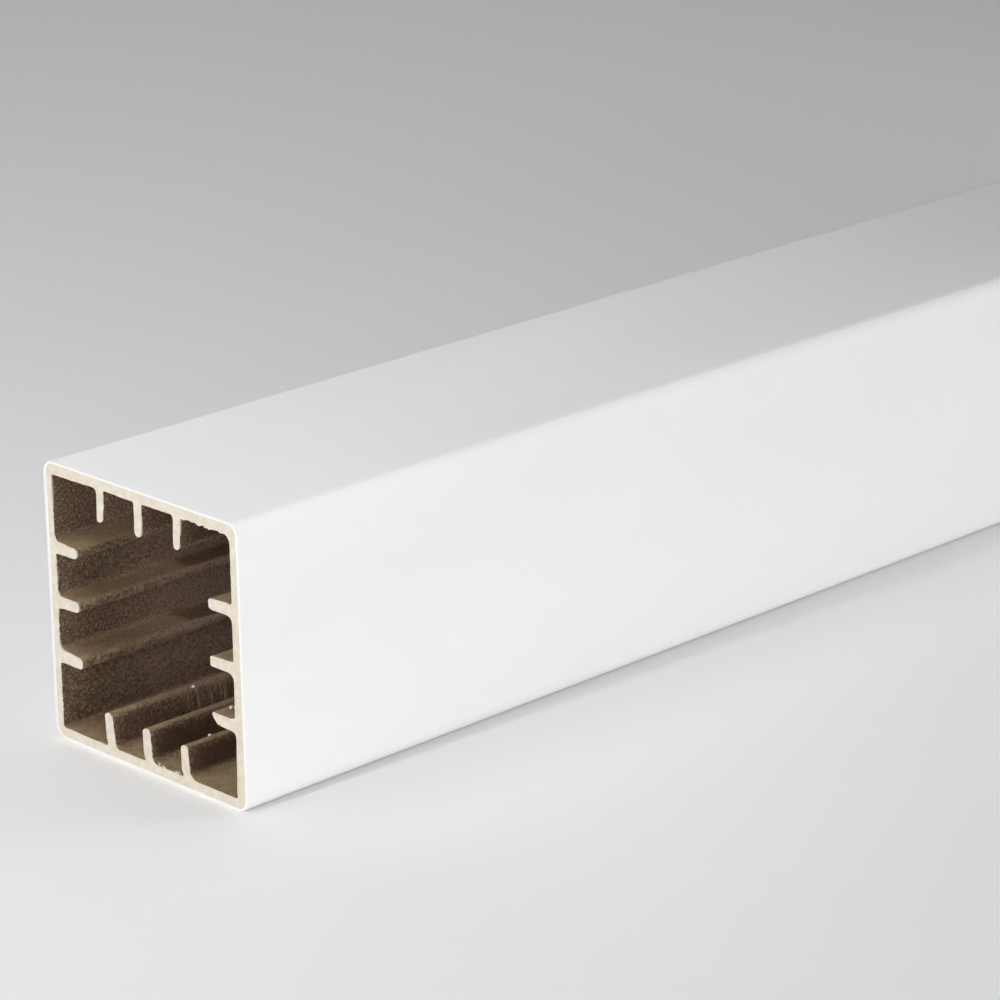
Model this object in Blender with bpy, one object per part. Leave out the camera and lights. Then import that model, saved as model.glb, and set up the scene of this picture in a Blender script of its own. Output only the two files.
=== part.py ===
"""Post sleeve: a square hollow trim that slides down over a structural post.

It lies on one side on the ground, with its length along Y, the sawn end that shows
its section towards -Y and its underside at Z = 0. The section is one extrusion: a
square tube with three ribs on each inner wall, which keep the sleeve off the post.
"""
import math

import bmesh
import bpy

# Sizes in metres, angles in degrees
LENGTH = 1.0668
POST_SIDE = 0.0889
POST_CLEARANCE = 0.0027
WALL = 0.0061
OUTER_CORNER_RADIUS = 0.00635
INNER_CORNER_RADIUS = 0.0014

RIBS_PER_WALL = 3
RIB_LENGTH = 0.0166
RIB_ROOT_THICKNESS = 0.0061
RIB_TIP_THICKNESS = 0.0052
RIB_TO_POST_EDGE = 0.01675
TIGHT_FILLET = 0.0011
WIDE_FILLET = 0.0036
ROUND_TIP = 0.0024
BLUNT_TIP = 0.0011

# The lowest rib on the right wall has a torn tip, cut back slantwise on its lower side
TORN_RIB_WALL = "right"
TORN_RIB_NUMBER = 0
TORN_TIP_SETBACK = 0.0041
TORN_TIP_RISE = 0.0009
TORN_TIP_RADIUS = 0.0009

ARC_STEP = 22.5
SMOOTH_ANGLE = 30.0
SHORTEST_STEP = 0.00001
WELD_DISTANCE = 0.000001

# What follows from them: the passage that the rib tips leave, and the sleeve around it
PASSAGE = POST_SIDE + 2 * POST_CLEARANCE
INNER_SIDE = PASSAGE + 2 * RIB_LENGTH
OUTER_SIDE = INNER_SIDE + 2 * WALL
RIB_PITCH = (POST_SIDE - 2 * RIB_TO_POST_EDGE) / max(1, RIBS_PER_WALL - 1)

# How each wall's ribs came off the die: which way each one leans, in degrees towards
# the next wall, the fillets before and after it, and how round its tip is. The walls
# and their ribs come in the order in which they are met going round anticlockwise.
WALLS = {
    "bottom": {"leans": (-5.5, -3.0, -2.5), "fillets": (TIGHT_FILLET, WIDE_FILLET), "tip": ROUND_TIP},
    "right": {"leans": (1.0, -1.5, -1.0), "fillets": (WIDE_FILLET, TIGHT_FILLET), "tip": BLUNT_TIP},
    "top": {"leans": (4.5, 3.0, 4.5), "fillets": (TIGHT_FILLET, TIGHT_FILLET), "tip": ROUND_TIP},
    "left": {"leans": (1.0, -1.5, 1.5), "fillets": (WIDE_FILLET, TIGHT_FILLET), "tip": ROUND_TIP},
}

WHITE = (0.86, 0.86, 0.85, 1.0)
CREAM = (0.71, 0.64, 0.53, 1.0)
BROWN = (0.085, 0.058, 0.040, 1.0)
CAPSTOCK_SLOT, CORE_SLOT, BORE_SLOT = range(3)


def clear_scene():
    for thing in list(bpy.data.objects):
        bpy.data.objects.remove(thing, do_unlink=True)


def material(name, colour, roughness):
    made = bpy.data.materials.new(name)
    made.use_nodes = True
    shader = made.node_tree.nodes["Principled BSDF"]
    shader.inputs["Base Color"].default_value = colour
    shader.inputs["Roughness"].default_value = roughness
    shader.inputs["Metallic"].default_value = 0.0
    made.diffuse_color = colour
    return made


def turn_at(before, corner, after):
    """The angle by which an outline turns at a corner, in radians."""
    heading_in = math.atan2(corner[1] - before[1], corner[0] - before[0])
    heading_out = math.atan2(after[1] - corner[1], after[0] - corner[0])
    return (heading_out - heading_in + math.pi) % (2 * math.pi) - math.pi


def fitting_radii(corners):
    """Each corner's radius, kept small enough for the arcs to fit on the edges they share."""
    count = len(corners)
    turns = [turn_at(corners[i - 1], corners[i], corners[(i + 1) % count]) for i in range(count)]
    reaches = [corners[i][2] * math.tan(abs(turns[i]) / 2) for i in range(count)]
    radii = [corner[2] for corner in corners]
    for i in range(count):
        following = (i + 1) % count
        edge = math.dist(corners[i][:2], corners[following][:2])
        wanted = reaches[i] + reaches[following]
        if wanted > edge:
            radii[i] = min(radii[i], corners[i][2] * edge / wanted)
            radii[following] = min(radii[following], corners[following][2] * edge / wanted)
    return radii, turns


def rounded_outline(corners):
    """Points of a closed outline, from corners given as (x, y, radius)."""
    radii, turns = fitting_radii(corners)
    count = len(corners)
    points = []
    for i, (x, y, _) in enumerate(corners):
        x_before, y_before, _ = corners[i - 1]
        heading = math.atan2(y - y_before, x - x_before)
        side = math.copysign(1.0, turns[i])
        reach = radii[i] * math.tan(abs(turns[i]) / 2)
        start_x = x - reach * math.cos(heading)
        start_y = y - reach * math.sin(heading)
        centre_x = start_x - side * radii[i] * math.sin(heading)
        centre_y = start_y + side * radii[i] * math.cos(heading)
        steps = max(1, round(math.degrees(abs(turns[i])) / ARC_STEP))
        for step in range(steps + 1):
            angle = heading + turns[i] * step / steps
            points.append((
                centre_x + side * radii[i] * math.sin(angle),
                centre_y - side * radii[i] * math.cos(angle),
            ))
    return [point for i, point in enumerate(points) if math.dist(point, points[i - 1]) > SHORTEST_STEP]


def rib_corners(middle, lean, fillets, tip_radius):
    """A rib's corners as (distance along the wall, height off the wall, radius)."""
    shift = RIB_LENGTH * math.tan(math.radians(lean))
    return [
        (middle - RIB_ROOT_THICKNESS / 2, 0.0, fillets[0]),
        (middle + shift - RIB_TIP_THICKNESS / 2, RIB_LENGTH, tip_radius),
        (middle + shift + RIB_TIP_THICKNESS / 2, RIB_LENGTH, tip_radius),
        (middle + RIB_ROOT_THICKNESS / 2, 0.0, fillets[1]),
    ]


def torn_rib_corners(middle, lean, fillets, tip_radius):
    """The same, for the rib whose tip is torn back on its first side to a blunt point."""
    first, first_tip, last_tip, last = rib_corners(middle, lean, fillets, tip_radius)
    point_at = (first_tip[0] + last_tip[0]) / 2 + TORN_TIP_RISE
    return [
        first,
        (first_tip[0], RIB_LENGTH - TORN_TIP_SETBACK, tip_radius),
        (point_at, RIB_LENGTH, TORN_TIP_RADIUS),
        (last_tip[0], RIB_LENGTH - tip_radius, tip_radius),
        last,
    ]


def to_section(wall, along, height):
    """A place on a wall, in the section's own X and Y, centred on the sleeve's axis."""
    half = INNER_SIDE / 2
    return {
        "bottom": (along - half, height - half),
        "right": (half - height, along - half),
        "top": (half - along, half - height),
        "left": (height - half, half - along),
    }[wall]


def bore_outline():
    corners = []
    for wall, style in WALLS.items():
        corners.append((*to_section(wall, 0.0, 0.0), INNER_CORNER_RADIUS))
        for number in range(RIBS_PER_WALL):
            lean = style["leans"][number % len(style["leans"])]
            middle = INNER_SIDE / 2 + (number - (RIBS_PER_WALL - 1) / 2) * RIB_PITCH
            torn = wall == TORN_RIB_WALL and number == TORN_RIB_NUMBER
            shape = torn_rib_corners if torn else rib_corners
            for along, height, radius in shape(middle, lean, style["fillets"], style["tip"]):
                corners.append((*to_section(wall, along, height), radius))
    return rounded_outline(corners)


def outside_outline():
    half = OUTER_SIDE / 2
    square = ((-half, -half), (half, -half), (half, half), (-half, half))
    return rounded_outline([(x, y, OUTER_CORNER_RADIUS) for x, y in square])


def section_curve(outlines):
    """A filled flat outline with a hole, drawn out to the sleeve's length."""
    curve = bpy.data.curves.new("sleeve section", "CURVE")
    curve.dimensions = "2D"
    curve.fill_mode = "BOTH"
    curve.extrude = LENGTH / 2
    for outline in outlines:
        spline = curve.splines.new("POLY")
        spline.points.add(len(outline) - 1)
        for point, (x, y) in zip(spline.points, outline):
            point.co = (x, y, 0.0, 1.0)
        spline.use_cyclic_u = True
    return bpy.data.objects.new("sleeve section", curve)


def solid_from(drawn, name, collection):
    """The drawn curve as a closed mesh: its two ends are welded to its sides."""
    collection.objects.link(drawn)
    bpy.context.view_layer.update()
    evaluated = drawn.evaluated_get(bpy.context.evaluated_depsgraph_get())
    mesh = bpy.data.meshes.new_from_object(evaluated)
    work = bmesh.new()
    work.from_mesh(mesh)
    bmesh.ops.remove_doubles(work, verts=work.verts, dist=WELD_DISTANCE)
    bmesh.ops.recalc_face_normals(work, faces=work.faces)
    work.to_mesh(mesh)
    work.free()
    mesh.name = name
    solid = bpy.data.objects.new(name, mesh)
    solid.matrix_world = drawn.matrix_world
    collection.objects.link(solid)
    bpy.data.objects.remove(drawn, do_unlink=True)
    return solid


def paint(sleeve):
    """White capstock outside, cream where the saw went through, brown inside the bore."""
    mesh = sleeve.data
    mesh.materials.clear()
    mesh.materials.append(material("white capstock", WHITE, 0.5))
    mesh.materials.append(material("sawn core", CREAM, 0.8))
    mesh.materials.append(material("bore skin", BROWN, 0.75))
    for face in mesh.polygons:
        reach = max(abs(face.center.x), abs(face.center.y))
        if round(abs(face.normal.z)):
            face.material_index = CORE_SLOT
        elif reach > INNER_SIDE / 2 + WELD_DISTANCE:
            face.material_index = CAPSTOCK_SLOT
        else:
            face.material_index = BORE_SLOT


def build():
    clear_scene()
    collection = bpy.data.collections.new("post sleeve")
    bpy.context.scene.collection.children.link(collection)
    drawn = section_curve([outside_outline(), bore_outline()])
    drawn.location = (0.0, 0.0, OUTER_SIDE / 2)
    drawn.rotation_euler = (math.radians(90.0), 0.0, 0.0)
    sleeve = solid_from(drawn, "sleeve", collection)
    paint(sleeve)
    sleeve.data.shade_smooth()
    sleeve.data.set_sharp_from_angle(angle=math.radians(SMOOTH_ANGLE))


build()
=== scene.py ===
"""The looks of the post sleeve: white capstock, sawn cream core and rough brown bore.

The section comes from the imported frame. Three kinds of mesh are drawn along it: the
capstock outside, the core with its two sawn ends, and the rippled skin of the bore, wall
by wall. A few crumbs of sawdust lie near the sawn end.
"""
import math

import bmesh
import bpy
import numpy as np
from mathutils import Matrix, Vector
from mathutils.geometry import delaunay_2d_cdt


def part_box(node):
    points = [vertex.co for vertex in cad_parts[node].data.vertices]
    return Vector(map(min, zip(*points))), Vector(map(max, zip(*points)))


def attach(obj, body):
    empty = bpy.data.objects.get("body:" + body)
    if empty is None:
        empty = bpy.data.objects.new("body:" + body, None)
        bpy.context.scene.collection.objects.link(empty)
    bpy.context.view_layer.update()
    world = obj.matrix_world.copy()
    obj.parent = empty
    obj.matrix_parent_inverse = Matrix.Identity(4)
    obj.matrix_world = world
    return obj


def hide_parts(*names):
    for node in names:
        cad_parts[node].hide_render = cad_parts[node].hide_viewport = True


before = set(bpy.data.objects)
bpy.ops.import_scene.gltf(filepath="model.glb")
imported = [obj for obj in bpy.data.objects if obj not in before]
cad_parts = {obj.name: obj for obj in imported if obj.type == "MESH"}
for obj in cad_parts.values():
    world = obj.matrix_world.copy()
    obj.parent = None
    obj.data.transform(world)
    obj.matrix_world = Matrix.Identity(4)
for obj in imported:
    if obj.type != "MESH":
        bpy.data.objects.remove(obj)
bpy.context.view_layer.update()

MM = 0.001

# The walls, in the order in which they are met anticlockwise, seen from the near end: which
# way each one runs, and which way is into the bore, in x and z
WALL_NAMES = ("bottom", "right", "top", "left")
WALL_WAYS = np.array(((1.0, 0.0), (0.0, 1.0), (-1.0, 0.0), (0.0, -1.0)))
WALL_INWARD = np.array(((0.0, 1.0), (-1.0, 0.0), (0.0, -1.0), (1.0, 0.0)))
RIB_PITCH = 27.7 * MM
RIB_PLACES = (-RIB_PITCH, 0.0, RIB_PITCH)

NEAR_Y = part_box("sleeve")[0].y
FAR_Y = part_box("sleeve")[1].y
OUTER_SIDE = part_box("sleeve")[1].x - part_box("sleeve")[0].x
AXIS_Z = OUTER_SIDE / 2

# How the section's outlines are read, sampled and smoothed
WELD_DISTANCE = 0.001 * MM
END_TOLERANCE = 0.01 * MM
OUTLINE_STEP = 0.1 * MM
FACET_SPREAD = 0.3 * MM
SETTLING_SPREAD = 1.0 * MM

# How far the bore stands off its drawn outline, in mm into the passage. Each wall has its
# four flat parts, start and end, and between them its ribs: first side, tip, second side
SETTLED = {
    "bottom": (
        (-0.45, -0.7), (0.1, -0.2, 0.2),
        (-0.6, -0.65), (0.7, -0.3, -0.65),
        (-0.4, -0.35), (0.8, -1.0, -1.2),
        (-0.3, -0.4),
    ),
    "right": (
        (0.9, -0.15), (0.8, 0.1, -0.75),
        (0.45, 0.0), (0.0, -0.35, -0.2),
        (-0.1, -0.25), (-0.1, -0.7, 0.1),
        (-0.4, -0.65),
    ),
    "top": (
        (0.0, -0.5), (-0.2, -0.8, -0.6),
        (-0.5, -0.3), (0.0, -0.2, -0.4),
        (-0.1, -0.45), (0.3, -0.7, -1.1),
        (-0.4, 0.3),
    ),
    "left": (
        (0.5, 0.7), (-0.25, 0.4, 0.25),
        (1.0, 0.85), (-0.05, -0.2, 0.0),
        (0.6, 0.35), (0.45, 0.4, -0.1),
        (0.2, -0.1),
    ),
}
FLAT_HEIGHT = 1.5 * MM
TIP_HEIGHT = 15.3 * MM
TOP_RIGHT_FILL = 0.8
TOP_RIGHT_REACH = 2.2 * MM

# The left wall leans in: how far at the most, between which heights and how far to the left
LEFT_WALL_LEAN = 0.75 * MM
LEAN_HEIGHTS = (-0.06, 0.04)
LEAN_REACH = (0.030, 0.066)

# Points on an outline: how far apart where it is straight, and in degrees where it turns
CAPSTOCK_SPACING = (6.0 * MM, 6.0)
CORE_OUTSIDE_SPACING = (3.0 * MM, 6.0)
CORE_BORE_SPACING = (1.0 * MM, 12.0)
SKIN_SPACING = (1.6 * MM, 15.0)
TURN_REACH = 3

# Edges that turn by more than this many degrees look sharp
CAPSTOCK_SMOOTH = 30.0
CORE_SMOOTH = 50.0
SKIN_SMOOTH = 60.0

# The capstock
CAPSTOCK_DEPTH = {"bottom": 1.05 * MM, "right": 1.4 * MM, "top": 1.0 * MM, "left": 2.1 * MM}
CUT_EDGE_BREAK = 0.14 * MM
BREAK_MIDDLE = 0.3

# The sawn faces: their relief and the points that carry it
FACE_PITCH = 1.5 * MM
FACE_JITTER = 0.3
FACE_CLEARANCE = 0.6 * MM
FACE_RELIEF = 0.05 * MM
FACE_RELIEF_CELL = 2.4 * MM
FACE_RELIEF_SEED = 5
TRIANGULATION_TOLERANCE = 1e-9
NEAR_END = -1
FAR_END = 1
END_SEEDS = {NEAR_END: 21, FAR_END: 61}

# The saw's burr round the bore: each layer's height, cell and row in its noise
FINE_BURR = (0.10 * MM, 0.9 * MM, 3.0)
COARSE_BURR = (0.08 * MM, 5.0 * MM, 7.0)
RAGGED_BURR = (0.75 * MM, 1.5 * MM, 11.0)

# At the near end the burr is ragged under the top wall, on the right
RAGGED_LIFT = 0.35 * MM
RAGGED_BELOW_TOP = (2.5 * MM, 0.5 * MM)
RAGGED_RIGHT = (24.0 * MM, 36.0 * MM)

# From a sawn face into the bore: the depth of each row of points, and how far it stands up,
# as a share of the burr above 0 and of the bed under the skin below 0
CORE_ROWS = ((0.25 * MM, 0.75), (0.7 * MM, 0.25), (1.4 * MM, -0.6), (2.4 * MM, -1.0))

# The bore's skin, and the bed that it covers
SKIN_DEPTH = 0.45 * MM
SKIN_BED = SKIN_DEPTH * 0.7
SKIN_START = 0.20 * MM
SKIN_START_UNEVENNESS = 0.6
SKIN_START_CELL = 1.3 * MM
SKIN_START_SEED = 200
CORNER_MARGIN = 2

# Where the skin has rows of points along the sleeve
NEAR_RIPPLES = 0.130
FAR_RIPPLES = 0.040
NEAR_ROW_STEP = 0.55 * MM
FAR_ROW_STEP = 0.9 * MM
LONGEST_ROW_STEP = 12.0 * MM
ROW_STEP_GROWTH = 1.12
ROW_STEP_SHARE = 0.12
LAST_ROW_GAP = 0.5 * MM
FIRST_ROW_GAPS = (0.2 * MM, 0.1 * MM)

# The skin's noise: each layer's size across and along the sleeve in mm, and its seed
SKIN_NOISE = {
    "broad": (17.0, 30.0, 101),
    "patch": (14.0, 18.0, 102),
    "ridge": (11.0, 0.85, 103),
    "fine ridge": (2.6, 0.75, 104),
    "notch": (2.5, 1.6, 105),
    "wobble": (9.0, 7.0, 106),
    "lump": (1.3, 1.2, 107),
    "chatter": (9.0, 0.85, 108),
    "broad lump": (2.8, 3.1, 109),
}
WALL_SHIFT = 0.4

# How high that noise stands, and what share the finer of two layers has
BROAD_HEIGHT = 0.12 * MM
WOBBLE_HEIGHT = 0.12 * MM
RIPPLE_HEIGHT = 0.10 * MM
TIP_RIPPLE_HEIGHT = 0.20 * MM
CHATTER_HEIGHT = 0.25 * MM
NOTCH_DEPTH = 0.2 * MM
DEEPEST_TEAR = 0.22 * MM
PATCH_SHARE = 0.35
FINE_RIDGE_SHARE = 0.38
BROAD_LUMP_SHARE = 0.3
TIP_LUMP_SHARE = 0.65
NOTCH_RANGE = (0.62, 0.95)
CHATTER_STARTS = (30 * MM, 60 * MM)

# Torn crests, which show paler
LUMP_CREST_RANGE = (0.12, 0.45)
CHATTER_CREST_RANGE = (0.1, 0.5)
CHATTER_CREST_SHARE = 0.7

# Where a rib's sides and its tip are, as shares of the longest rib's length
SIDE_STARTS = (0.08, 0.2)
SIDE_ENDS = (0.7, 0.9)
TIP_RANGE = (0.72, 0.97)

# How the relief fades: where rows stand further apart, and towards the corners of the bore
FADING_ROW_STEPS = (1.2 * MM, 4.0 * MM)
CORNER_FADE = 1.5 * MM

# How rough each wall's ribs are, how much they chatter, and how much painted shade darkens their
# sides
RIB_ROUGHNESS = {
    "bottom": (1.0, 0.35, 0.3),
    "right": (0.7, 0.7, 0.7),
    "top": (0.7, 0.7, 0.7),
    "left": (0.6, 1.0, 0.85),
}
CHATTER = {"bottom": 1.0, "right": 0.3, "top": 0.5, "left": 0.3}
RIB_SIDE_PAINTED_SHADE = {
    "bottom": (-0.35, -1.0, -1.0),
    "right": (0.0, 0.0, 0.0),
    "top": (-0.7, -0.5, 0.0),
    "left": (0.0, 0.0, 0.0),
}
# How far in from the near end the painted shade on rib sides sets in
PAINTED_SHADE_REACH = 3 * MM
# Painted light: the skin turns paler deep inside, between these depths from the nearer end
DEEP_PAINTED_LIGHT = 0.85
DEEP_PAINTED_LIGHT_RANGE = (15 * MM, 70 * MM)

# Sawdust lies where the skin faces up by more than this, and least in the middle
DUST_SLOPE = 0.15
DUST_REACH = 45.0 * MM
DUST_IN_THE_MIDDLE = 0.3

# Crumbs of sawdust: place from the near end's lowest middle point, and size, in mm
CRUMBS = (
    ((-25.6, 49.5, 22.6), (1.7, 2.0, 1.7)),
    ((27.3, 14.5, 22.9), (1.3, 1.8, 1.4)),
    ((52.6, 7.2, 45.9), (1.9, 2.4, 1.0)),
    ((63.0, 0.8, 50.3), (1.3, 1.2, 1.6)),
    ((7.0, 0.5, 6.6), (0.8, 0.7, 1.9)),
    ((9.2, 0.7, 6.1), (1.5, 1.3, 1.1)),
    ((10.8, 0.5, 6.0), (2.0, 0.9, 0.9)),
    ((18.9, 0.7, 6.1), (1.9, 0.9, 0.7)),
    ((21.0, 0.5, 6.3), (2.6, 0.7, 0.6)),
)
CRUMB_SEED = 300
CRUMB_TURN = 0.5
CRUMB_DENT = 0.22

# Colours
CAPSTOCK_WHITES = ((0.845, 0.845, 0.84, 1), (0.87, 0.87, 0.868, 1))
CORE_CREAMS = ((0.66, 0.592, 0.485, 1), (0.785, 0.715, 0.615, 1))
WOOD_FLOUR = (0.50, 0.40, 0.29, 1)
BORE_BROWNS = ((0.196, 0.114, 0.084, 1), (0.192, 0.138, 0.080, 1))
# Painted light: the paler brown deep inside the bore
PAINTED_LIGHT_BROWN = (0.395, 0.272, 0.207, 1)
LIGHT_SPECK = (0.52, 0.385, 0.285, 1)
DARK_SPECK = (0.064, 0.038, 0.027, 1)
# Painted shade: the dark brown on rib sides
PAINTED_SHADE_BROWN = (0.074, 0.038, 0.023, 1)
TORN_BROWN = (0.42, 0.31, 0.22, 1)
SAWDUST = (0.48, 0.345, 0.18, 1)
FLOOR_WHITE = (0.95, 0.95, 0.95, 1)

# Noise in the materials: its features in a metre along x, y and z, its detail and roughness
CAPSTOCK_CLOUDS = ((14.0, 5.0, 14.0), 2.0, 0.5)
DIE_LINES = ((420.0, 1.6, 420.0), 2.0, 0.5)
CAPSTOCK_GRAIN = ((2600.0, 1500.0, 2600.0), 2.0, 0.5)
CORE_MOTTLE = ((260.0, 260.0, 260.0), 4.0, 0.6)
CORE_FLECKS = ((1500.0, 1500.0, 700.0), 2.0, 0.6)
CORE_GRAIN = ((1900.0, 1900.0, 1900.0), 3.0, 0.7)
BORE_CLOUDS = ((55.0, 30.0, 55.0), 4.0, 0.6)
BORE_SPECKS = ((950.0, 750.0, 950.0), 2.0, 0.6)
BORE_STREAKS = ((110.0, 620.0, 110.0), 4.0, 0.65)
BORE_GRAIN = ((1300.0, 1300.0, 1300.0), 3.0, 0.6)
DUST_PATCHES = ((160.0, 110.0, 160.0), 4.0, 0.7)

# What lies over the bore's brown, in order: what drives it, the driver's range, the shares
# that the colour takes at its ends, and the colour
BORE_LAYERS = (
    # Painted light deep inside the bore
    ("painted_shading", (0.0, 1.0), (0.0, 1.0), PAINTED_LIGHT_BROWN),
    ("speck", (0.52, 0.70), (0.0, 0.8), LIGHT_SPECK),
    ("speck", (0.30, 0.48), (0.8, 0.0), DARK_SPECK),
    # Painted shade on rib sides
    ("painted_shading", (0.0, -1.0), (0.0, 0.8), PAINTED_SHADE_BROWN),
    ("crest", (0.0, 1.0), (0.0, 0.85), TORN_BROWN),
    ("sawdust", (0.0, 1.0), (0.0, 0.75), SAWDUST),
)

# The saw's score marks are rings about the blade's centre
BLADE_CENTRE = (0.16, -0.53, -0.10)
SCORES_IN_A_METRE = 4800.0 / math.tau

# The sockets of a colour mix node
MIX_SHARE, MIX_FIRST, MIX_SECOND = 0, 6, 7
MIX_RESULT = 2

# The camera, as it stood for the photograph
CAMERA_AZIMUTH = 46.0
CAMERA_ELEVATION = 18.975
CAMERA_ROLL = -0.99
CAMERA_DISTANCE = 1.8777
LENS = 146.34
SENSOR = 36.0
FRAME_PIXELS = 1000.0
END_CENTRE_PIXEL = (143.4, 634.1)
CLIP_END = 100.0
FLOOR_SIZE = 40.0

# The lights: name, azimuth, elevation, distance, width and power
LIT_POINT = Vector((0.0, -0.4, 0.05))
AMBIENT = 0.06
LIGHTS = (
    ("key along the sleeve", -0.4, 17.5, 2.5, 0.06, 22.0),
    ("low right", 90, 4, 5.0, 2.0, 103.0),
    ("far right", 125, 8, 2.2, 1.0, 4.2),
    ("beside the camera", 40, 20, 6.0, 3.0, 44.0),
    ("low front", 38, 12, 5.0, 2.0, 28.0),
    ("right", 100, 18, 3.0, 1.0, 3.0),
    ("left", -100, 45, 3.0, 1.0, 5.8),
    ("overhead", 0, 75, 6.0, 3.0, 21.5),
    ("near top", -50, 70, 1.2, 0.5, 2.4),
    ("near left", -30, 60, 1.6, 1.0, 1.5),
    ("behind", 150, 35, 6.0, 3.0, 38.0),
)

# Two more over the floor: name, place, point it faces, width and power
FLOOR_LIGHTS = (
    ("over the floor in front", (-0.25, -1.5, 1.3), (-0.25, -1.4, 0.0), 1.0, 4.9),
    ("over the floor behind", (-1.6, 0.6, 1.3), (-1.4, 0.6, 0.0), 1.0, 1.7),
)


# Noise

def lattice_noise(u, v, seed):
    """Smooth noise between -1 and 1 on a grid with one random value for each whole u and v."""
    size = 512
    table = np.random.default_rng(seed).uniform(-1.0, 1.0, (size, size))
    iu, iv = np.floor(u).astype(int), np.floor(v).astype(int)
    fu, fv = u - iu, v - iv
    su, sv = fu * fu * (3 - 2 * fu), fv * fv * (3 - 2 * fv)
    iu, iv = iu % size, iv % size
    ju, jv = (iu + 1) % size, (iv + 1) % size
    low = table[iu, iv] * (1 - su) + table[ju, iv] * su
    high = table[iu, jv] * (1 - su) + table[ju, jv] * su
    return low * (1 - sv) + high * sv


def line_noise(along, cell, row, seed):
    """The same, along a line: one row of the grid."""
    return lattice_noise(along / cell, np.full(len(along), float(row)), seed)


def smooth_step(edge_low, edge_high, value):
    share = np.clip((value - edge_low) / (edge_high - edge_low), 0.0, 1.0)
    return share * share * (3 - 2 * share)


def blended(first, second, share):
    """Two values mixed, the second by a share."""
    return (1 - share) * first + share * second


# The section, read from the frame

def in_order(edges):
    """Closed loops of (x, z) about the axis, from loose edges."""
    at_vert = {}
    for edge in edges:
        for vert in edge.verts:
            at_vert.setdefault(vert, []).append(edge)
    while edges:
        edge = edges[0]
        vert = edge.verts[0]
        loop = []
        while edge in edges:
            edges.remove(edge)
            loop.append((vert.co.x, vert.co.z - AXIS_Z))
            vert = edge.other_vert(vert)
            edge = next(e for e in at_vert[vert] if e is not edge)
        yield np.array(loop)


def anticlockwise(loop):
    x, z = loop.T
    area = np.sum(x * np.roll(z, -1) - np.roll(x, -1) * z)
    return loop[::-1] if area < 0 else loop


def end_loops():
    """The outlines of the near end, anticlockwise, the outside first."""
    work = bmesh.new()
    work.from_mesh(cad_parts["sleeve"].data)
    bmesh.ops.remove_doubles(work, verts=work.verts, dist=WELD_DISTANCE)
    cut = {f for f in work.faces if all(v.co.y < NEAR_Y + END_TOLERANCE for v in f.verts)}
    edges = [e for e in work.edges if sum(f in cut for f in e.link_faces) == 1]
    loops = [anticlockwise(loop) for loop in in_order(edges)]
    work.free()
    return sorted(loops, key=lambda each: -np.ptp(each[:, 0]))


def smoothed(values, steps):
    """Values round a closed loop, smoothed over a number of steps."""
    reach = int(4 * steps)
    weights = np.exp(-0.5 * (np.arange(-reach, reach + 1) / steps) ** 2)
    wrapped = np.concatenate([values[-reach:], values, values[:reach]])
    return np.convolve(wrapped, weights / weights.sum(), "valid")


def distances(loop):
    """How far along a line each of its points is."""
    return np.concatenate([[0.0], np.cumsum(np.hypot(*np.diff(loop, axis=0).T))])


def even_loop(loop, step, spread):
    """A loop resampled evenly, with its facets smoothed over the distance spread."""
    closed = np.vstack([loop, loop[:1]])
    along = distances(closed)
    count = int(along[-1] / step)
    at = np.arange(count) * along[-1] / count
    columns = [smoothed(np.interp(at, along, closed[:, k]), spread / step) for k in (0, 1)]
    return np.stack(columns, axis=1)


def left_normals(loop):
    """Unit normals to the left of a closed loop's direction."""
    ahead = np.roll(loop, -1, axis=0) - np.roll(loop, 1, axis=0)
    ahead /= np.linalg.norm(ahead, axis=1)[:, None]
    return np.stack([-ahead[:, 1], ahead[:, 0]], axis=1)


def settled(bore):
    """The bore's outline, moved to where the photograph shows it."""
    half = np.abs(bore).max()
    heights = half + bore @ WALL_INWARD.T
    walls, height = heights.argmin(axis=1), heights.min(axis=1)
    along = np.sum(bore * WALL_WAYS[walls], axis=1)
    first = np.sum(left_normals(bore) * WALL_WAYS[walls], axis=1) < 0
    ends = np.array((-half, *RIB_PLACES, half))
    part = np.clip(np.searchsorted(ends, along) - 1, 0, 3)
    rib = np.clip(np.round(along / RIB_PITCH) + 1, 0, 2).astype(int)
    flats = np.array([SETTLED[name][0::2] for name in WALL_NAMES])
    ribs = np.array([SETTLED[name][1::2] for name in WALL_NAMES])
    share = (along - ends[part]) / (ends[part + 1] - ends[part])
    flat = blended(flats[walls, part, 0], flats[walls, part, 1], share)
    side = np.where(first, ribs[walls, rib, 0], ribs[walls, rib, 2])
    on_rib = np.where(height > TIP_HEIGHT, ribs[walls, rib, 1], side)
    offset = np.where(height < FLAT_HEIGHT, flat, on_rib)
    from_corner = np.hypot(*(bore - half).T)
    offset = np.where(from_corner < TOP_RIGHT_REACH, TOP_RIGHT_FILL, offset)
    offset = smoothed(offset, SETTLING_SPREAD / OUTLINE_STEP) * MM
    return bore + left_normals(bore) * offset[:, None]


def leaning(outside):
    """The outside outline, with its left wall leaning in towards its top."""
    x, z = outside.T
    share = smooth_step(*LEAN_HEIGHTS, z) * smooth_step(*LEAN_REACH, -x)
    return np.stack([x + LEFT_WALL_LEAN * share, z], axis=1)


def capstock_depth(normals):
    """How deep the capstock is, from the normals of the outside outline."""
    depths = np.array([CAPSTOCK_DEPTH[name] for name in WALL_NAMES])
    return np.clip(normals @ WALL_INWARD.T, 0, 1) ** 2 @ depths


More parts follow.
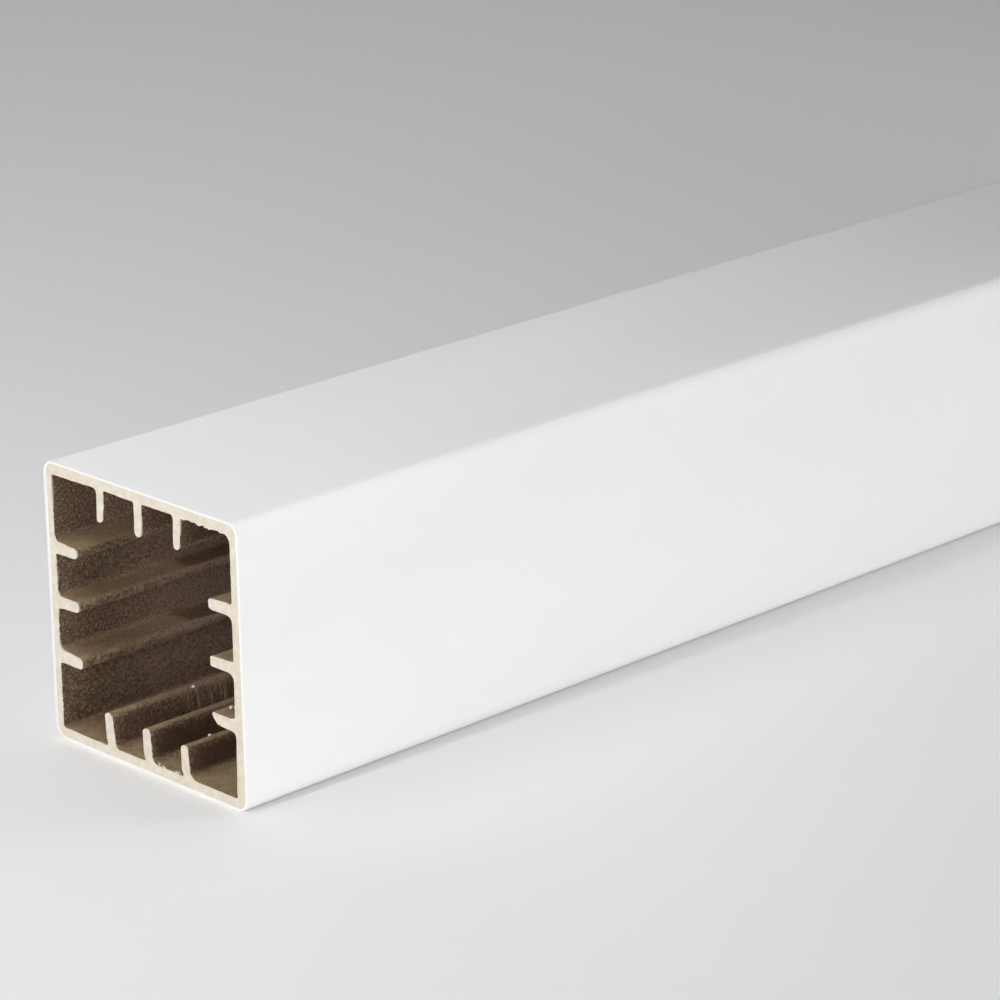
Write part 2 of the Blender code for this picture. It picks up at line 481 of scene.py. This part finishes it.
def spread_points(loop, flat_step, turn_step):
    """Indices into an even loop, close together where it turns and apart where it is straight."""
    ahead = np.roll(loop, -1, axis=0) - loop
    heading = np.unwrap(np.arctan2(ahead[:, 1], ahead[:, 0]))
    turning = np.abs(np.diff(heading, append=heading[:1]))
    turning[-1] = 0.0
    window = np.ones(2 * TURN_REACH + 1) / (2 * TURN_REACH + 1)
    turning = np.convolve(np.pad(turning, TURN_REACH, mode="wrap"), window, mode="valid")
    need = np.hypot(*ahead.T) / flat_step + turning / math.radians(turn_step)
    reached = np.concatenate([[0.0], np.cumsum(need)])
    count = int(math.ceil(reached[-1]))
    return np.unique(np.searchsorted(reached, np.arange(count) * reached[-1] / count))


# Meshes

def placed(name, data):
    """A new object in the scene."""
    made = bpy.data.objects.new(name, data)
    bpy.context.scene.collection.objects.link(made)
    return made


def piece(name, points, faces, material, smooth_angle):
    """A visible piece of the sleeve, shaded smooth except at its sharp edges."""
    mesh = bpy.data.meshes.new(name)
    mesh.from_pydata([tuple(p) for p in np.asarray(points).tolist()], [], faces)
    mesh.validate()
    mesh.materials.append(material)
    made = placed(name, mesh)
    mesh.shade_smooth()
    mesh.set_sharp_from_angle(angle=math.radians(smooth_angle))
    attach(made, "root")
    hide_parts("sleeve")
    return made


def ring_faces(first, second, closed=True):
    """Quads between two rows of point numbers, with their front to the first row's right."""
    count = len(first) if closed else len(first) - 1
    following = [(i + 1) % len(first) for i in range(count)]
    return [(first[i], second[i], second[j], first[j]) for i, j in enumerate(following)]


def faces_between(rows):
    """Quads between each closed row of point numbers and the next."""
    return [face for row, following in zip(rows, rows[1:]) for face in ring_faces(row, following)]


def in_section(loop, y):
    """Rows of 3-D points from a loop of (x, z) about the axis and one y, or one for each point."""
    return np.stack([loop[:, 0], np.broadcast_to(y, len(loop)), loop[:, 1] + AXIS_Z], axis=1)


def inside(loop, points):
    """Whether each point lies inside a closed loop, by counting crossings."""
    x, z = points.T
    crossings = np.zeros(len(points), int)
    for (xa, za), (xb, zb) in zip(loop, np.roll(loop, -1, axis=0)):
        spans = (za > z) != (zb > z)
        if za != zb:
            crossings += spans & (x < xa + (z - za) * (xb - xa) / (zb - za))
    return crossings % 2 == 1


# Materials

def new_material(name):
    material = bpy.data.materials.new(name)
    material.use_nodes = True
    tree = material.node_tree
    return material, tree, tree.nodes["Principled BSDF"]


def feed(tree, socket, value):
    """Links a socket to another one, or sets it to a value."""
    if isinstance(value, bpy.types.NodeSocket):
        tree.links.new(value, socket)
    else:
        socket.default_value = value


def add(tree, kind, settings=None, **inputs):
    """A node with its settings and inputs. An input is named, or numbered after a low line."""
    made = tree.nodes.new(kind)
    for key, value in (settings or {}).items():
        setattr(made, key, value)
    for key, value in inputs.items():
        numbered = key[0] == "_"
        feed(tree, made.inputs[int(key[1:]) if numbered else key], value)
    return made


def noise(tree, scale, detail, roughness):
    """Noise with a number of features in a metre along each axis of the object."""
    place = add(tree, "ShaderNodeTexCoord").outputs["Object"]
    where = add(tree, "ShaderNodeMapping", Vector=place, Scale=scale).outputs["Vector"]
    made = add(
        tree, "ShaderNodeTexNoise", Vector=where, Scale=1.0, Detail=detail, Roughness=roughness
    )
    return made.outputs["Fac"]


def attribute(tree, name):
    return add(tree, "ShaderNodeAttribute", {"attribute_name": name}).outputs["Fac"]


def arithmetic(tree, operation, *values):
    inputs = {f"_{number}": value for number, value in enumerate(values)}
    return add(tree, "ShaderNodeMath", {"operation": operation}, **inputs).outputs[0]


def to_range(tree, value, given, wanted):
    """A value in a given range, brought to the wanted one and held within it."""
    return add(
        tree, "ShaderNodeMapRange",
        _0=value, _1=given[0], _2=given[1], _3=wanted[0], _4=wanted[1],
    ).outputs[0]


def mixed(tree, share, first, second):
    """Two colours mixed by a share."""
    made = add(tree, "ShaderNodeMix", {"data_type": "RGBA"})
    feed(tree, made.inputs[MIX_SHARE], share)
    feed(tree, made.inputs[MIX_FIRST], first)
    feed(tree, made.inputs[MIX_SECOND], second)
    return made.outputs[MIX_RESULT]


def bump(tree, height, strength, distance, under=None):
    """A normal roughened by a height, over the one under it."""
    made = add(tree, "ShaderNodeBump", Strength=strength, Distance=distance, Height=height)
    if under is not None:
        tree.links.new(under, made.inputs["Normal"])
    return made.outputs["Normal"]


def capstock_material():
    """Satin white, all but even, with faint die lines along the sleeve and a fine grain."""
    material, tree, shader = new_material("white capstock")
    cloud = to_range(tree, noise(tree, *CAPSTOCK_CLOUDS), (0.3, 0.7), (0.0, 1.0))
    feed(tree, shader.inputs["Base Color"], mixed(tree, cloud, *CAPSTOCK_WHITES))
    lines = noise(tree, *DIE_LINES)
    grain = noise(tree, *CAPSTOCK_GRAIN)
    feed(tree, shader.inputs["Roughness"], to_range(tree, lines, (0.3, 0.7), (0.56, 0.66)))
    normal = bump(tree, lines, strength=0.10, distance=0.05 * MM)
    normal = bump(tree, grain, strength=0.10, distance=0.03 * MM, under=normal)
    feed(tree, shader.inputs["Normal"], normal)
    shader.inputs["Specular IOR Level"].default_value = 0.32
    return material


def core_material():
    """Dry cream core: mottled, flecked with wood flour, and scored by the saw's teeth."""
    material, tree, shader = new_material("sawn core")
    mottle = to_range(tree, noise(tree, *CORE_MOTTLE), (0.3, 0.7), (0.0, 1.0))
    fleck = to_range(tree, noise(tree, *CORE_FLECKS), (0.64, 0.78), (0.0, 0.4))
    colour = mixed(tree, fleck, mixed(tree, mottle, *CORE_CREAMS), WOOD_FLOUR)
    feed(tree, shader.inputs["Base Color"], colour)
    place = add(tree, "ShaderNodeTexCoord").outputs["Object"]
    blade = add(
        tree, "ShaderNodeVectorMath", {"operation": "DISTANCE"}, _0=place, _1=BLADE_CENTRE
    ).outputs["Value"]
    turns = arithmetic(tree, "MULTIPLY", blade, SCORES_IN_A_METRE * math.tau)
    scores = arithmetic(tree, "SINE", turns)
    normal = bump(tree, scores, strength=0.22, distance=0.05 * MM)
    grain = noise(tree, *CORE_GRAIN)
    normal = bump(tree, grain, strength=0.55, distance=0.18 * MM, under=normal)
    feed(tree, shader.inputs["Normal"], normal)
    shader.inputs["Roughness"].default_value = 0.85
    shader.inputs["Specular IOR Level"].default_value = 0.25
    return material


def bore_material():
    """Matt brown extruded skin: mottled, rippled across its length, dusted where it faces up."""
    material, tree, shader = new_material("bore skin")
    patchy = to_range(tree, noise(tree, *DUST_PATCHES), (0.35, 0.65), (0.45, 1.0))
    # One attribute carries painted shade on rib sides and painted light deep inside the bore
    drivers = {
        "painted_shading": attribute(tree, "painted_shading"),
        "speck": noise(tree, *BORE_SPECKS),
        "crest": attribute(tree, "crest"),
        "sawdust": arithmetic(tree, "MULTIPLY", attribute(tree, "dust"), patchy),
    }
    cloud = to_range(tree, noise(tree, *BORE_CLOUDS), (0.36, 0.64), (0.0, 1.0))
    colour = mixed(tree, cloud, *BORE_BROWNS)
    for driver, given, shares, layer in BORE_LAYERS:
        colour = mixed(tree, to_range(tree, drivers[driver], given, shares), colour, layer)
    feed(tree, shader.inputs["Base Color"], colour)
    streak = noise(tree, *BORE_STREAKS)
    feed(tree, shader.inputs["Roughness"], to_range(tree, streak, (0.3, 0.7), (0.62, 0.85)))
    normal = bump(tree, streak, strength=0.5, distance=0.30 * MM)
    grain = noise(tree, *BORE_GRAIN)
    normal = bump(tree, grain, strength=0.5, distance=0.12 * MM, under=normal)
    feed(tree, shader.inputs["Normal"], normal)
    shader.inputs["Specular IOR Level"].default_value = 0.35
    return material


def floor_material():
    material, _, shader = new_material("pale floor")
    shader.inputs["Base Color"].default_value = FLOOR_WHITE
    shader.inputs["Roughness"].default_value = 0.9
    shader.inputs["Specular IOR Level"].default_value = 0.1
    return material


# The capstock

def capstock(outside, material):
    """The white skin outside: a shell as long as the sleeve, its cut edges just broken."""
    keep = spread_points(outside, *CAPSTOCK_SPACING)
    loop, into = outside[keep], left_normals(outside)[keep]
    inner = capstock_depth(into)
    middle = CUT_EDGE_BREAK * BREAK_MIDDLE
    rows = [
        (NEAR_Y, inner),
        (NEAR_Y, CUT_EDGE_BREAK),
        (NEAR_Y + middle, middle),
        (NEAR_Y + CUT_EDGE_BREAK, 0.0),
        (FAR_Y - CUT_EDGE_BREAK, 0.0),
        (FAR_Y - middle, middle),
        (FAR_Y, CUT_EDGE_BREAK),
        (FAR_Y, inner),
    ]
    points = [in_section(loop + into * np.reshape(depth, (-1, 1)), y) for y, depth in rows]
    numbers = np.arange(len(rows) * len(loop)).reshape(len(rows), -1).tolist()
    faces = faces_between(numbers + numbers[:1])
    return piece(
        "sleeve_capstock", np.vstack(points), faces, material, CAPSTOCK_SMOOTH
    )


# The core

def burr(places, arc, end):
    """How far the saw's burr stands into the bore at each place round a sawn edge."""
    seed = END_SEEDS[end]

    def layer(shape, number):
        height, cell, row = shape
        return height * line_noise(arc, cell, row, seed + number)

    height = layer(FINE_BURR, 0) + layer(COARSE_BURR, 1)
    if end == NEAR_END:
        below, above = RAGGED_BELOW_TOP
        half = np.abs(places).max()
        top = smooth_step(half - below, half - above, places[:, 1])
        ragged = top * smooth_step(*RAGGED_RIGHT, places[:, 0])
        height += ragged * (RAGGED_LIFT + layer(RAGGED_BURR, 2))
    return height


def face_points(outer_loop, inner_loop, seed):
    """Points spread over a sawn end, clear of its edges."""
    low, high = outer_loop.min(axis=0), outer_loop.max(axis=0)
    columns, rows = [np.arange(low[k], high[k], FACE_PITCH) for k in (0, 1)]
    grid = np.stack(np.meshgrid(columns, rows), axis=-1).reshape(-1, 2)
    shift = np.random.default_rng(seed).uniform(-FACE_JITTER, FACE_JITTER, grid.shape)
    grid = grid + shift * FACE_PITCH
    outer_clear = outer_loop + left_normals(outer_loop) * FACE_CLEARANCE
    inner_clear = inner_loop - left_normals(inner_loop) * FACE_CLEARANCE
    return grid[inside(outer_clear, grid) & ~inside(inner_clear, grid)]


def sawn_face(outer_loop, inner_loop, y, end):
    """A sawn end: its points and triangles, and the numbers of its outer and inner edges."""
    seed = END_SEEDS[end]
    flat = np.vstack([outer_loop, inner_loop, face_points(outer_loop, inner_loop, seed)])
    outer_count, inner_count = len(outer_loop), len(inner_loop)
    edges = [(i, (i + 1) % outer_count) for i in range(outer_count)]
    edges += [(outer_count + i, outer_count + (i + 1) % inner_count) for i in range(inner_count)]
    flat = [Vector(p) for p in flat.tolist()]
    result = delaunay_2d_cdt(flat, edges, [], 0, TRIANGULATION_TOLERANCE)
    made, triangles = np.array([tuple(p) for p in result[0]]), np.array(result[2])
    middles = made[triangles].mean(axis=1)
    triangles = triangles[inside(outer_loop, middles) & ~inside(inner_loop, middles)]
    if end == FAR_END:
        triangles = triangles[:, ::-1]
    cells = made / FACE_RELIEF_CELL
    relief = FACE_RELIEF * lattice_noise(cells[:, 0], cells[:, 1], seed + FACE_RELIEF_SEED)
    where = {source: number for number, sources in enumerate(result[3]) for source in sources}
    outer_edge = [where[i] for i in range(outer_count)]
    inner_edge = [where[outer_count + i] for i in range(inner_count)]
    return in_section(made, y + end * relief), triangles, outer_edge, inner_edge


def core(outside, bore, material):
    """The cream core: sawn ends with burrs on their inner edge, and a bed for the bore's skin."""
    outward = left_normals(outside)
    outer_loop = outside + outward * capstock_depth(outward)[:, None]
    outer_loop = outer_loop[spread_points(outside, *CORE_OUTSIDE_SPACING)]
    keep = spread_points(bore, *CORE_BORE_SPACING)
    loop, into = bore[keep], left_normals(bore)[keep]
    points, faces, outer_edges, bore_rows = [], [], {}, {}
    total = 0
    for end, y in ((NEAR_END, NEAR_Y), (FAR_END, FAR_Y)):
        raised = burr(loop, distances(loop), end)
        rim = loop + into * raised[:, None]
        flat, triangles, outer_edge, rim_edge = sawn_face(outer_loop, rim, y, end)
        points.append(flat)
        faces += (triangles + total).tolist()
        outer_edges[end] = [number + total for number in outer_edge]
        bore_rows[end] = [[number + total for number in rim_edge]]
        total += len(flat)
        for depth, lift in CORE_ROWS:
            height = np.where(lift > 0, raised * lift, SKIN_BED * lift)
            points.append(in_section(loop + into * height[:, None], y - end * depth))
            bore_rows[end].append(list(range(total, total + len(loop))))
            total += len(loop)
    faces += ring_faces(outer_edges[NEAR_END], outer_edges[FAR_END])
    faces += faces_between(bore_rows[FAR_END] + bore_rows[NEAR_END][::-1])
    return piece("sleeve_core", np.vstack(points), faces, material, CORE_SMOOTH)


# The bore's skin

def skin_rows():
    """Where the skin has a row of points along the sleeve: close near the ends, sparse between."""
    rows = list(np.arange(NEAR_Y, NEAR_Y + NEAR_RIPPLES, NEAR_ROW_STEP))
    tail = list(np.arange(FAR_Y, FAR_Y - FAR_RIPPLES, -FAR_ROW_STEP))[::-1]
    step = NEAR_ROW_STEP
    while rows[-1] + step < tail[0] - LAST_ROW_GAP:
        left = max(FAR_ROW_STEP, (tail[0] - rows[-1]) * ROW_STEP_SHARE)
        step = min(step * ROW_STEP_GROWTH, LONGEST_ROW_STEP, left)
        rows.append(rows[-1] + step)
    return np.array(rows[:-1] + tail)


def relief(arc, y, tip, side, rough):
    """How far the skin stands off its plain form, and how torn it is, over arc and y."""
    s = arc[None, :] + 0 * y[:, None]
    v = y[:, None] + 0 * arc[None, :]
    tip, side, rough = tip[None, :], side[None, :], rough[None, :]
    layer = {
        name: lattice_noise(s / (across * MM), v / (along * MM), seed)
        for name, (across, along, seed) in SKIN_NOISE.items()
    }
    patch = 1 - PATCH_SHARE + PATCH_SHARE * layer["patch"]
    lumps = blended(layer["lump"], layer["broad lump"], BROAD_LUMP_SHARE)
    ridge = blended(layer["ridge"], layer["fine ridge"], FINE_RIDGE_SHARE)
    ridge = blended(ridge, lumps, tip * TIP_LUMP_SHARE)
    notch = tip * smooth_step(*NOTCH_RANGE, layer["notch"])
    chatter = side * smooth_step(*CHATTER_STARTS, v - NEAR_Y) * layer["chatter"]
    height = BROAD_HEIGHT * layer["broad"] + tip * WOBBLE_HEIGHT * layer["wobble"]
    height += patch * rough * (RIPPLE_HEIGHT + TIP_RIPPLE_HEIGHT * tip) * ridge
    height += CHATTER_HEIGHT * chatter - NOTCH_DEPTH * rough * notch
    crest = tip * rough * smooth_step(*LUMP_CREST_RANGE, lumps)
    crest += CHATTER_CREST_SHARE * smooth_step(*CHATTER_CREST_RANGE, chatter)
    return np.maximum(height, -DEEPEST_TEAR), np.clip(crest, 0, 1)


def from_ends(y):
    """How far in from the nearer end."""
    return np.minimum(y - NEAR_Y, FAR_Y - y)


def dust(y, into):
    """How much sawdust lies on the skin: only where it faces up, and most near the ends."""
    up = np.clip(into[:, 1] * (1 + DUST_SLOPE) - DUST_SLOPE, 0, 1)
    nearness = np.exp(-from_ends(y) / DUST_REACH)
    return up[None, :] * blended(DUST_IN_THE_MIDDLE, 1.0, nearness)[:, None]


def painted_shading_values(y, side, side_shade):
    """Painted shading: dark below 0, pale above; painted shade on rib sides, painted light deep
    inside.
    """
    starting = 1 - np.exp(-(y - NEAR_Y) / PAINTED_SHADE_REACH)
    deep = DEEP_PAINTED_LIGHT * smooth_step(*DEEP_PAINTED_LIGHT_RANGE, from_ends(y))
    return np.clip((side * side_shade)[None, :] * starting[:, None] + deep[:, None], -1, 1)


def skin_places(y, arc, wall):
    """Where along the sleeve each point of the skin is, with an uneven edge at either end."""
    uneven = line_noise(arc, SKIN_START_CELL, wall, SKIN_START_SEED)
    start = SKIN_START * (1 + SKIN_START_UNEVENNESS * uneven)
    first_gap, second_gap = FIRST_ROW_GAPS
    rows = np.repeat(y[:, None], len(arc), axis=1)
    rows[0] = y[0] + start
    rows[1] = np.maximum(rows[1], rows[0] + first_gap)
    rows[2] = np.maximum(rows[2], rows[1] + second_gap)
    rows[-1] = y[-1] - start
    rows[-2] = np.minimum(rows[-2], rows[-1] - first_gap)
    return rows


def skin_faces(rows, across):
    """Faces of a closed shell: a grid of points in front, then one row behind each end of it."""
    numbers = np.arange((rows + 2) * across).reshape(-1, across).tolist()
    grid, near_back, far_back = numbers[:rows], numbers[rows], numbers[rows + 1]
    faces = []
    for row, following in zip(grid, grid[1:]):
        faces += ring_faces(following, row, closed=False)
    faces += ring_faces(grid[0], near_back, closed=False)
    faces += ring_faces(near_back, far_back, closed=False)
    faces += ring_faces(far_back, grid[-1], closed=False)
    faces.append([row[0] for row in grid] + [far_back[0], near_back[0]])
    faces.append([row[-1] for row in grid][::-1] + [near_back[-1], far_back[-1]])
    return faces


def bore_skin(wall, numbers, bore, material):
    """One wall's skin with its ribs: a closed shell from one corner of the bore to the next."""
    name = WALL_NAMES[wall]
    loop, into = bore[numbers], left_normals(bore)[numbers]
    arc, y = distances(loop), skin_rows()
    half = np.abs(bore).max()
    share = (half - np.abs(loop).max(axis=1)) / (half - np.abs(bore).max(axis=1)).max()
    tip = smooth_step(*TIP_RANGE, share)
    side = smooth_step(*SIDE_STARTS, share) * (1 - smooth_step(*SIDE_ENDS, share))
    along = loop @ WALL_WAYS[wall]
    rough = np.interp(along, RIB_PLACES, RIB_ROUGHNESS[name])
    # How much painted shade each rib's sides get
    side_shade = np.interp(along, RIB_PLACES, RIB_SIDE_PAINTED_SHADE[name])
    height, crest = relief(arc + wall * WALL_SHIFT, y, tip, side * CHATTER[name], rough)
    fade_along = 1 - smooth_step(*FADING_ROW_STEPS, np.gradient(y))
    fade_across = smooth_step(0.0, CORNER_FADE, np.minimum(arc, arc[-1] - arc))
    fade = fade_along[:, None] * fade_across[None, :]
    surface = loop[None] + into[None] * (height * fade)[..., None]
    places = skin_places(y, arc, wall)
    front = np.stack([surface[..., 0], places, surface[..., 1] + AXIS_Z], axis=-1)
    back = loop - into * SKIN_DEPTH
    points = np.vstack([
        front.reshape(-1, 3), in_section(back, places[0]), in_section(back, places[-1])
    ])
    faces = skin_faces(len(y), len(loop))
    made = piece(f"bore_skin_{name}", points, faces, material, SKIN_SMOOTH)
    # Painted shade on rib sides and painted light deep inside are stored as one attribute
    looks = {"crest": crest * fade, "dust": dust(y, into), "painted_shading": painted_shading_values(y, side, side_shade)}
    for look, values in looks.items():
        values = np.concatenate([values.reshape(-1), np.zeros(2 * len(loop))])
        layer = made.data.attributes.new(look, "FLOAT", "POINT")
        layer.data.foreach_set("value", values.astype(np.float32))
    return made


def bore_skins(bore, material):
    """Splits the bore's outline at the middles of its four corners, and skins each wall."""
    bore = np.roll(bore, -int(np.argmin(bore @ np.array([1.0, 1.0]))), axis=0)
    keep = spread_points(bore, *SKIN_SPACING)
    ways = ((1.0, -1.0), (1.0, 1.0), (-1.0, 1.0))
    corners = [int(np.argmax(bore @ np.array(way))) for way in ways]
    bounds = [0] + corners + [len(bore)]
    for wall, (start, end) in enumerate(zip(bounds, bounds[1:])):
        own = keep[(keep > start + CORNER_MARGIN) & (keep < end - CORNER_MARGIN)]
        numbers = np.concatenate([[start], own, [end % len(bore)]])
        bore_skin(wall, numbers, bore, material)


# Crumbs

def crumb(work, place, sizes, seed):
    """An irregular lump of sawdust, of three sizes along the axes."""
    made = bmesh.ops.create_icosphere(work, subdivisions=2, radius=0.5)
    shaky = np.random.default_rng(seed)
    angle = shaky.uniform(-CRUMB_TURN, CRUMB_TURN)
    turn = Matrix.Rotation(angle, 3, Vector(shaky.uniform(-1, 1, 3)).normalized())
    for vert in made["verts"]:
        dent = 1 + CRUMB_DENT * shaky.uniform(-1, 1)
        vert.co = turn @ Vector(c * k * dent for c, k in zip(vert.co, sizes)) + Vector(place)


def crumbs(material):
    """Bright torn crumbs near the sawn end, where the photograph shows them."""
    work = bmesh.new()
    for number, (place, sizes) in enumerate(CRUMBS):
        at = Vector(place) * MM + Vector((0.0, NEAR_Y, 0.0))
        crumb(work, at, Vector(sizes) * MM, CRUMB_SEED + number)
    mesh = bpy.data.meshes.new("sawdust_crumbs")
    work.to_mesh(mesh)
    work.free()
    mesh.materials.append(material)
    mesh.shade_smooth()
    made = placed("sawdust_crumbs", mesh)
    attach(made, "root")


# The stage

def floor(material):
    bpy.ops.mesh.primitive_plane_add(size=FLOOR_SIZE, location=(0.0, 0.0, 0.0))
    made = bpy.context.object
    made.name = "floor"
    made.data.materials.append(material)


def direction(azimuth, elevation):
    """The way to a place seen from the sleeve, in degrees, azimuth 0 being in front of it."""
    a, e = math.radians(azimuth), math.radians(elevation)
    return Vector((math.sin(a) * math.cos(e), -math.cos(a) * math.cos(e), math.sin(e)))


def camera():
    """The photograph's camera: the sawn end's centre falls on END_CENTRE_PIXEL."""
    back = direction(CAMERA_AZIMUTH, CAMERA_ELEVATION)
    level = Vector((0, 0, 1)).cross(back).normalized()
    upright = back.cross(level)
    roll = math.radians(CAMERA_ROLL)
    right = math.cos(roll) * level + math.sin(roll) * upright
    up = math.cos(roll) * upright - math.sin(roll) * level
    focal = LENS / SENSOR * FRAME_PIXELS
    across, down = [(pixel - FRAME_PIXELS / 2) / focal for pixel in END_CENTRE_PIXEL]
    end_centre = Vector((0.0, NEAR_Y, AXIS_Z))
    place = end_centre + CAMERA_DISTANCE * (back - across * right + down * up)
    data = bpy.data.cameras.new("camera")
    data.lens = LENS
    data.sensor_width = SENSOR
    data.clip_end = CLIP_END
    made = placed("camera", data)
    turn = Matrix((right, up, back)).transposed().to_4x4()
    made.matrix_world = Matrix.Translation(place) @ turn
    bpy.context.scene.camera = made


def soft_light(name, place, aim, size, power):
    data = bpy.data.lights.new(name, "AREA")
    data.shape = "SQUARE"
    data.size = size
    data.energy = power
    made = placed(name, data)
    made.location = place
    made.rotation_euler = (Vector(aim) - Vector(place)).to_track_quat("-Z", "Y").to_euler()


def lights():
    """Soft studio lights that face the near half of the sleeve, and two over the floor."""
    for name, azimuth, elevation, distance, size, power in LIGHTS:
        place = LIT_POINT + distance * direction(azimuth, elevation)
        soft_light(name, place, LIT_POINT, size, power)
    for light in FLOOR_LIGHTS:
        soft_light(*light)
    world = bpy.data.worlds.new("studio")
    bpy.context.scene.world = world
    world.use_nodes = True
    background = world.node_tree.nodes["Background"]
    background.inputs["Color"].default_value = (1.0, 1.0, 1.0, 1)
    background.inputs["Strength"].default_value = AMBIENT
    bpy.context.scene.view_settings.view_transform = "Standard"


def build():
    outside, bore = [even_loop(loop, OUTLINE_STEP, FACET_SPREAD) for loop in end_loops()]
    outside, bore = leaning(outside), settled(bore)
    cream = core_material()
    capstock(outside, capstock_material())
    core(outside, bore, cream)
    bore_skins(bore, bore_material())
    crumbs(cream)
    floor(floor_material())
    camera()
    lights()


build()
